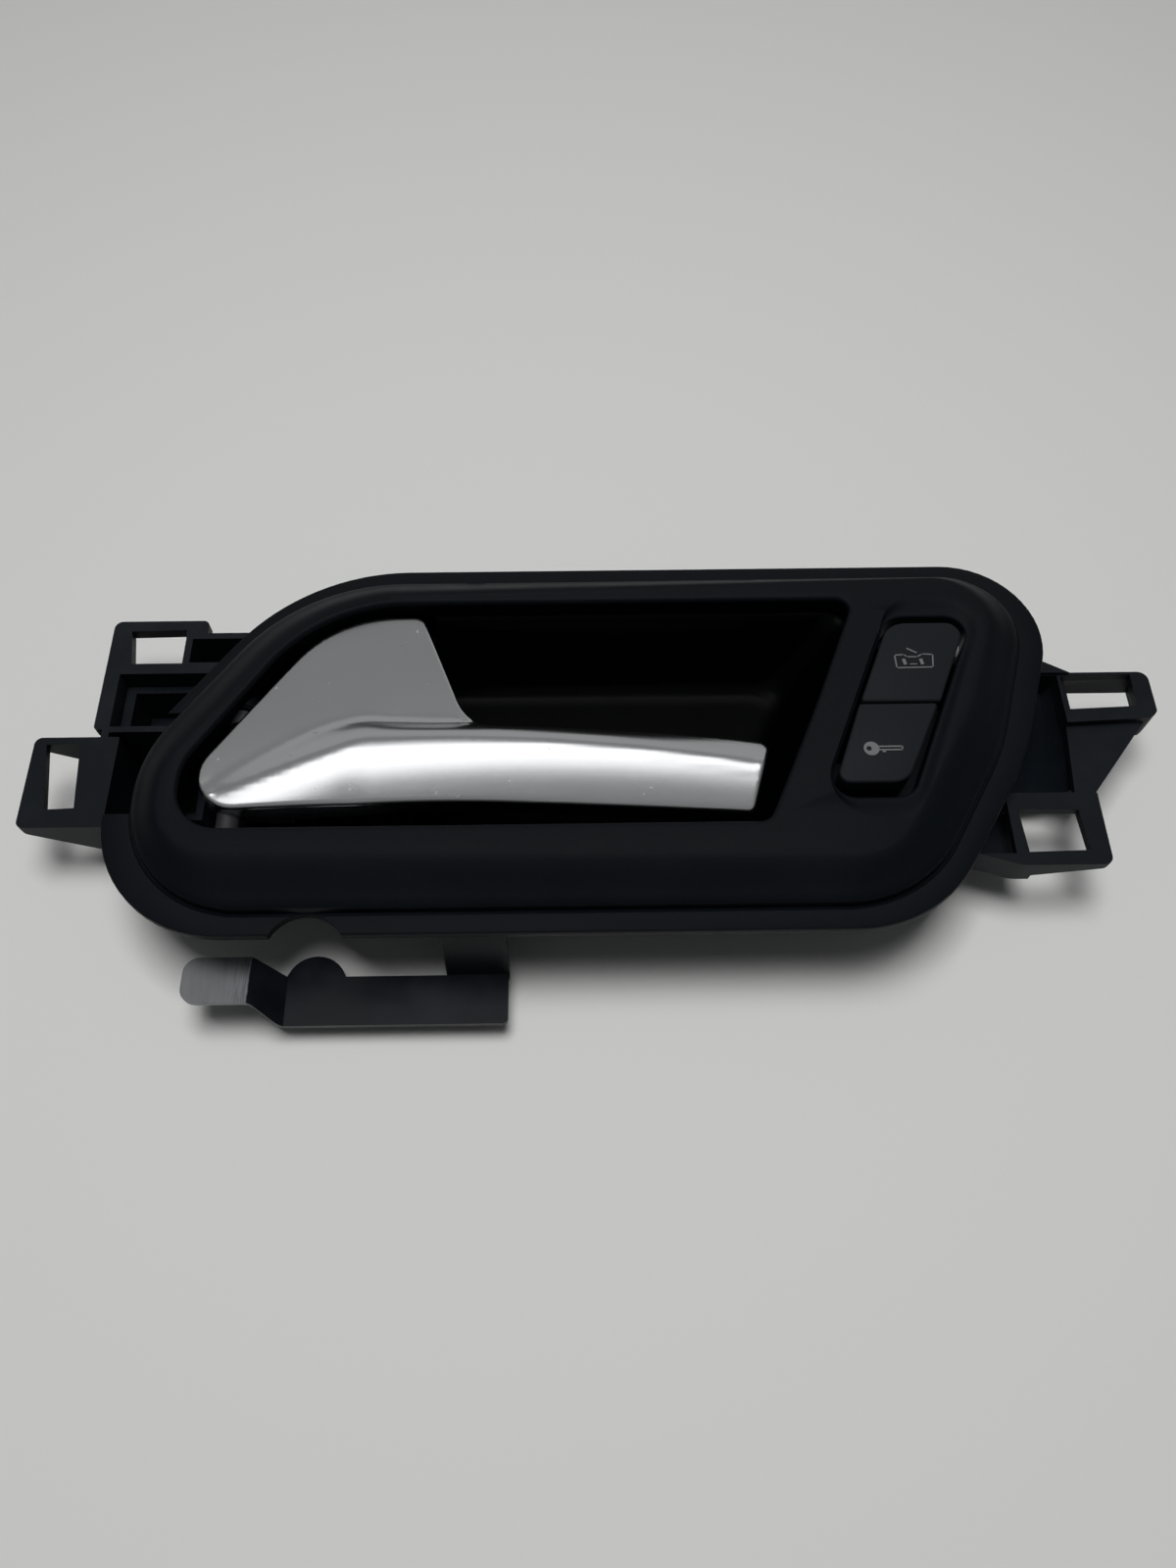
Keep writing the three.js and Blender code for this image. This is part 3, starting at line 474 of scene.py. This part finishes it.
def makeBowl(s):
    bm = bmesh.new()
    reach = 0.94
    fall = s["floorTop"] - s["rimTop"]
    foot = between(s["top"], s["floor"], reach)
    depthAt = lambda share: 1 - math.cos(share * math.pi / 2) ** 1.7
    inside = []
    for step in range(15):
        share = step / 14
        corners = between(grown(s["top"], 0.7), s["floor"], reach * share ** 1.1)
        inside.append(roundedLoop(bm, corners, s["rimTop"] + (fall + 0.7) * depthAt(share)))
    for inset, lift in ((0.6, 0.35), (1.8, 0.1), (4, 0.01)):
        inside.append(roundedLoop(bm, grown(foot, -inset), s["floorTop"] + lift))
    outside = [roundedLoop(bm, grown(foot, -2), s["floorTop"] - s["wall"])]
    for step in range(8, -1, -1):
        share = step / 8
        wall = between(s["top"], s["floor"], reach * share ** 1.1)
        corners = grown(wall, s["wall"] * (1 - 0.5 * share))
        outside.append(roundedLoop(bm, corners, s["rimTop"] - s["wall"] + fall * depthAt(share)))
    rim = grown(s["top"], 2.4)
    outside.append(roundedLoop(bm, rim, s["rimTop"] - s["wall"] + 0.02))
    outside.append(roundedLoop(bm, rim, s["rimTop"] + 0.02))
    skin(bm, inside)
    skin(bm, outside)
    bmesh.ops.bridge_loops(bm, edges=outside[-1] + inside[0])
    cap(bm, inside[-1])
    cap(bm, outside[0])
    piece = pieceFrom(bm, "fingerBowl", bowlFinish)
    # the bowl's end wall is low where the lever's core passes over it
    end = [(-60, -26, 0.5), (-40, -26, 0.5), (-40, 46, 0.5), (-60, 46, 0.5)]
    piece = combined(piece, block("underLever", end, 24, 33, bowlFinish), "DIFFERENCE")
    smooth(piece, 38)
    return place(piece, "frame", "bowl_plastic", "finger_bowl")


makeBowl(bowl)
print("bowl made")


lever = {
    "outline": [(-99.4, -13.7, 9.2), (-38, -12, 500), (33.6, -15.2, 2), (38.7, 3, 2.5), (8, 6, 400),
                (-30.3, 7.2, 12), (-42.4, 39.1, 3.2), (-63.6, 39.1, 27)],
    "crown": 37.6,
    "barMiddle": -25,
    "barReach": 65,
    "fallToPivot": 4,
    "fallToEnd": 3,
    "barDepth": 8.5,
    "fanTop": 33.3,
    "fanThickness": 3,
    "skin": 2.2,
    "edgeRound": 0.9,
    "rim": 2.0,
    "cell": 1.6,
    "pivot": (-84, 28.4),
    "pivotRoom": 2.9,
}


def smoothRise(value, low, high):
    share = np.clip((value - low) / (high - low), 0, 1)
    return share * share * (3 - 2 * share)


def smoothLower(a, b, width):
    # the lower of two heights, with the corner between them rounded off
    share = np.clip(0.5 + (b - a) / (2 * width), 0, 1)
    return b + (a - b) * share - width * share * (1 - share) * 0.5


def crownAt(s, x):
    # the bar's crown falls away on both sides of its middle
    away = (x - s["barMiddle"]) / s["barReach"]
    return s["crown"] - np.where(x > s["barMiddle"], s["fallToEnd"], s["fallToPivot"]) * away ** 2


def leverFront(s, x, y):
    # the bar falls away on both sides of a ridge, gently to the lower edge and sharply to the fan
    ridge = smoothLower(2.6 - 0.001 * (x + 45) ** 2, 2.6 + 0.37 * (x + 54.5), 1.5)
    beyond = y - ridge
    sharp = 0.018 + 0.067 * smoothRise(x, -66, -36) - 0.062 * smoothRise(x, -5, 36)
    above = 0.2 * beyond + sharp * beyond ** 2
    below = -0.1 * beyond + 0.0075 * beyond ** 2
    width = 0.5 + 2.6 * smoothRise(x, -4, 34)
    bar = crownAt(s, x) - (below + (above - below) * smoothRise(beyond, -width, width))
    fan = s["fanTop"] - 0.02 * (y - 7) + 0.5 * np.minimum(beyond, 0) - 6 * smoothRise(x, -32, -4)
    return -smoothLower(-bar, -fan, 1.1)


def leverBack(s, x, y):
    onFan = smoothRise(y, 5.5, 8) * (1 - smoothRise(x, -29, -26))
    bar = crownAt(s, x) - s["barDepth"]
    back = bar + (s["fanTop"] - s["fanThickness"] - bar) * onFan
    arch = s["pivotRoom"] ** 2 - (x - s["pivot"][0]) ** 2
    return np.maximum(back, np.where(arch > 0, s["pivot"][1] + np.sqrt(np.maximum(arch, 0)), 0))


def distanceInside(points, edge):
    # how far each point lies from the nearest stretch of the closed edge
    start, end = edge, np.roll(edge, -1, axis=0)
    along = end - start
    length = np.maximum((along ** 2).sum(1), 1e-12)
    nearest = np.full(len(points), 1e9)
    for a, d, l in zip(start, along, length):
        share = np.clip(((points - a) @ d) / l, 0, 1)
        nearest = np.minimum(nearest, np.hypot(*(points - a - share[:, None] * d).T))
    return nearest


def makeLever(s):
    bm = bmesh.new()
    loop = roundedLoop(bm, s["outline"], 0, 14)
    face = cap(bm, loop)
    edge = np.array([v.co.xy for v in face[0].verts]) / mm
    for step in (0.08, 0.14, 0.22, 0.36, 0.5, 0.7, 0.08):
        bmesh.ops.inset_region(bm, faces=face, thickness=step * mm, use_even_offset=True, use_boundary=True)
    low, high = edge.min(0), edge.max(0)
    whole = lambda: bm.verts[:] + bm.edges[:] + bm.faces[:]
    for axis, normal in enumerate((Vector((1, 0, 0)), Vector((0, 1, 0)))):
        for cut in np.arange(low[axis] + s["cell"] / 2, high[axis], s["cell"]):
            bmesh.ops.bisect_plane(bm, geom=whole(), plane_co=normal * (cut * mm), plane_no=normal,
                                   dist=0.001 * mm)
    bmesh.ops.triangulate(bm, faces=[f for f in bm.faces if len(f.verts) > 4])
    front = bm.faces[:]
    back = bmesh.ops.duplicate(bm, geom=whole())
    backVerts = [g for g in back["geom"] if isinstance(g, bmesh.types.BMVert)]
    frontVerts = list({v for f in front for v in f.verts})
    for verts, isFront in ((frontVerts, True), (backVerts, False)):
        xy = np.array([v.co.xy for v in verts]) / mm
        inside = distanceInside(xy, edge)
        top = leverFront(s, xy[:, 0], xy[:, 1])
        if isFront:
            near = np.clip(1 - inside / s["edgeRound"], 0, 1)
            z = top - s["edgeRound"] * (1 - np.sqrt(1 - near ** 2))
        else:
            z = np.where(inside <= s["rim"] + 0.04, leverBack(s, xy[:, 0], xy[:, 1]), top - s["skin"])
        for vert, height in zip(verts, z):
            vert.co.z = height * mm
    bmesh.ops.bridge_loops(bm, edges=[e for e in bm.edges if e.is_boundary])
    piece = pieceFrom(bm, "leverBar", leverFinish, 42)
    return place(piece, "pull_lever", "lever_metal", "lever")


makeLever(lever)
print("lever made")


keys = {
    "unlock": {"corners": [(59.2, 10.5, 0.8), (77.6, 10.5, 0.8), (86.9, 32.3, 3.5), (68.3, 32.3, 6)],
               "body": "unlock_key", "node": "unlock_button"},
    "lock": {"corners": [(51.2, -10.3, 2.4), (67.3, -10.3, 5.5), (77, 10, 0.8), (58.9, 10, 0.8)],
             "body": "lock_key", "node": "lock_button"},
    "top": 37.3,
    "bottom": 29.5,
    "round": 0.6,
}


def makeKey(name, s):
    bm = bmesh.new()
    key = s[name]
    ring = lambda inset, z: roundedLoop(bm, grown(key["corners"], -inset), z, 8)
    loops = [ring(0.2, s["bottom"]), roundedLoop(bm, key["corners"], s["top"] - 2, 8)]
    for step in range(6):
        turn = math.radians(17 * step)
        inset, drop = s["round"] * (1 - math.cos(turn)), s["round"] * (1 - math.sin(turn))
        loops.append(ring(inset, s["top"] - drop))
    skin(bm, loops)
    cap(bm, loops[0])
    cap(bm, loops[-1])
    piece = pieceFrom(bm, name + "Key", keyFinish)
    return place(piece, key["body"], "key_plastic", key["node"])


for name in ("unlock", "lock"):
    makeKey(name, keys)
print("keys made")


icons = {"thickness": 0.05, "stroke": 0.34, "lockAt": (60.1, -1.9), "unlockAt": (73, 21.3)}


def strip(bm, start, end, width, z, thickness):
    # a straight stroke with square ends
    made = bmesh.ops.create_cube(bm, size=1)["verts"]
    along = Vector(end) - Vector(start)
    bmesh.ops.scale(bm, vec=((along.length + width) * mm, width * mm, thickness * mm), verts=made)
    turned = Matrix.Rotation(math.atan2(along.y, along.x), 3, "Z")
    bmesh.ops.rotate(bm, cent=(0, 0, 0), matrix=turned, verts=made)
    centre = (Vector(start) + Vector(end)) / 2
    bmesh.ops.translate(bm, vec=Vector((centre.x, centre.y, z)) * mm, verts=made)


def hoop(bm, x, y, outer, inner, hole, z, thickness):
    # a flat ring whose hole sits off centre
    loops = []
    for radius, level, centre in ((outer, -0.5, x), (outer, 0.5, x), (inner, 1.0, hole), (inner, -1.0, hole)):
        verts = bmesh.ops.create_circle(bm, segments=28, radius=radius * mm)["verts"]
        bmesh.ops.translate(bm, vec=Vector((centre, y, z + thickness * level)) * mm, verts=verts)
        loops.append(list({e for v in verts for e in v.link_edges}))
    skin(bm, loops, closed=True)


def makeKeyIcon(s):
    # a key: round bow with a small hole, hollow blade and one tooth
    bm = bmesh.new()
    z = keys["top"] + s["thickness"] / 2
    x, y = icons["lockAt"]
    hoop(bm, x, y, 1.75, 0.6, x - 0.55, z, s["thickness"])
    strip(bm, (x + 1.8, y + 0.5), (x + 7, y + 0.5), s["stroke"], z, s["thickness"])
    strip(bm, (x + 1.8, y - 0.35), (x + 6.8, y - 0.35), s["stroke"], z, s["thickness"])
    strip(bm, (x + 7, y + 0.4), (x + 6.8, y - 0.25), s["stroke"], z, s["thickness"])
    strip(bm, (x + 2.6, y - 0.7), (x + 2.9, y - 0.7), 0.5, z, s["thickness"])
    piece = pieceFrom(bm, "lockIcon", printFinish)
    return place(piece, "lock_key", "key_plastic")


def makeLidIcon(s):
    # a car seen from the end, with its lid raised
    bm = bmesh.new()
    z = keys["top"] + s["thickness"] / 2
    x, y = icons["unlockAt"]
    shape = [(-4.3, -1.8), (4.1, -1.7), (4.5, 1.8), (2, 1.95), (0.8, 1.2), (-1.5, 1.2), (-2.3, 1.85),
             (-4.4, 1.7)]
    corners = [(x + dx, y + dy) for dx, dy in shape]
    for i, corner in enumerate(corners):
        strip(bm, corner, corners[(i + 1) % len(corners)], s["stroke"] - 0.04, z, s["thickness"])
    for side in (-2.4, 1.6):
        strip(bm, (x + side, y + 0.25), (x + side + 0.15, y - 0.55), 0.75, z, s["thickness"])
    strip(bm, (x - 1, y - 0.8), (x + 0.4, y - 0.8), 0.24, z, s["thickness"])
    strip(bm, (x - 1.2, y + 3.5), (x + 0.7, y + 2.4), s["stroke"], z, s["thickness"])
    piece = pieceFrom(bm, "unlockIcon", printFinish)
    return place(piece, "unlock_key", "key_plastic")


makeKeyIcon(icons)
makeLidIcon(icons)
print("icons made")


def softened(node, name, body, slot, material, width, segments=2, angle=35):
    # a cleaned copy of a piece whose frame shape is right, with its edges rounded
    bm = bmesh.new()
    bm.from_mesh(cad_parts[node].data)
    bmesh.ops.remove_doubles(bm, verts=bm.verts, dist=0.002 * mm)
    bmesh.ops.dissolve_limit(bm, angle_limit=math.radians(2), verts=bm.verts, edges=bm.edges)
    mesh = bpy.data.meshes.new(name)
    bm.to_mesh(mesh)
    bm.free()
    piece = bpy.data.objects.new(name, mesh)
    bpy.context.scene.collection.objects.link(piece)
    mesh.materials.append(material)
    smooth(piece, angle)
    bevelled(piece, width, segments, angle)
    return place(piece, body, slot, node)


softened("carrier", "carrierFrame", "frame", "carrier_plastic", carrierFinish, 0.3)
softened("steel_bracket", "bracketStrip", "frame", "bracket_steel", bracketFinish, 0.25)
softened("lever_core", "leverCore", "pull_lever", "core_plastic", coreFinish, 0.2)
softened("switch_housing", "switchHousing", "frame", "carrier_plastic", carrierFinish, 0.2)
softened("switch_cover", "switchCover", "frame", "carrier_plastic", carrierFinish, 0.2)
print("softened copies made")

# the other frame pieces are shown as they are
dressed = {
    "pivot_pin": pinShadeFinish, "pin_clip": zincFinish, "return_spring": springFinish,
    "pivot_bush_lower": bushFinish, "pivot_bush_upper": bushFinish,
    "lever_stop": rubberFinish, "cable_guide": coreFinish,
    "switch_board": boardFinish, "pin_header": coreFinish,
    "switch_dome_1": domeFinish, "switch_dome_2": domeFinish,
    "core_screw_1": zincFinish, "core_screw_2": zincFinish,
    "bracket_screw_1": zincFinish, "bracket_screw_2": zincFinish,
}
dressed.update({f"bezel_screw_{i}": zincFinish for i in range(1, 6)})
for node, material in dressed.items():
    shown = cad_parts[node]
    shown.data.materials.clear()
    shown.data.materials.append(material)


studio = {
    "floorSize": 3.0,
    "floorTone": (0.78, 0.785, 0.77, 1),
    "roomTone": (0.93, 0.95, 0.96, 1),
    "roomLight": 0.07,
}


def makeFloor(s):
    bm = bmesh.new()
    bmesh.ops.create_grid(bm, x_segments=1, y_segments=1, size=s["floorSize"] / 2)
    mesh = bpy.data.meshes.new("floor")
    bm.to_mesh(mesh)
    bm.free()
    floor = bpy.data.objects.new("floor", mesh)
    bpy.context.scene.collection.objects.link(floor)
    mesh.materials.append(finish("floorPale", {"Base Color": s["floorTone"], "Roughness": 0.7}))
    floor.location.z = -0.0003


def softbox(name, power, size, where, diffuse=True, mirrored=True):
    # a rectangular lamp that faces the handle
    light = bpy.data.lights.new(name, "AREA")
    light.shape = "RECTANGLE"
    light.size, light.size_y = size
    light.energy = power
    lamp = bpy.data.objects.new(name, light)
    bpy.context.scene.collection.objects.link(lamp)
    lamp.visible_diffuse = diffuse
    lamp.visible_glossy = mirrored
    lamp.location = where
    lamp.rotation_euler = (-Vector(where)).to_track_quat("-Z", "Y").to_euler()


makeFloor(studio)
softbox("key", 6.9, (0.4, 0.4), (-0.03, 0.02, 1.0), mirrored=False)
softbox("strip", 1.7, (1.0, 0.29), (-0.06, 0.245, 1.0), diffuse=False)
softbox("card", 4.8, (3.0, 3.0), (0, 0, 1.4), diffuse=False)
softbox("backCard", 4.0, (3.0, 1.3), (0, 1.7, 0.75), diffuse=False)

world = bpy.data.worlds.new("room")
bpy.context.scene.world = world
world.use_nodes = True
room = world.node_tree.nodes["Background"]
room.inputs["Color"].default_value = studio["roomTone"]
room.inputs["Strength"].default_value = studio["roomLight"]

view = {
    "target": (-3.2, -6.1, 30),
    "elevation": 62,
    "turn": -0.8,
    "distance": 267,
    "lens": 27.07,
    "sensor": 36,
}


def makeCamera(s):
    camera = bpy.data.cameras.new("camera")
    camera.lens = s["lens"]
    camera.sensor_width = s["sensor"]
    camera.clip_start = 0.01
    eye = bpy.data.objects.new("camera", camera)
    bpy.context.scene.collection.objects.link(eye)
    lift, turn = math.radians(s["elevation"]), math.radians(s["turn"])
    back = Vector((math.sin(turn) * math.cos(lift), -math.cos(turn) * math.cos(lift), math.sin(lift)))
    right = Vector((math.cos(turn), math.sin(turn), 0))
    up = back.cross(right)
    eye.matrix_world = Matrix.Translation((Vector(s["target"]) + back * s["distance"]) * mm) @ Matrix(
        (right, up, back)).transposed().to_4x4()
    bpy.context.scene.camera = eye


makeCamera(view)
bpy.context.scene.view_settings.view_transform = "Standard"
print("studio ready")
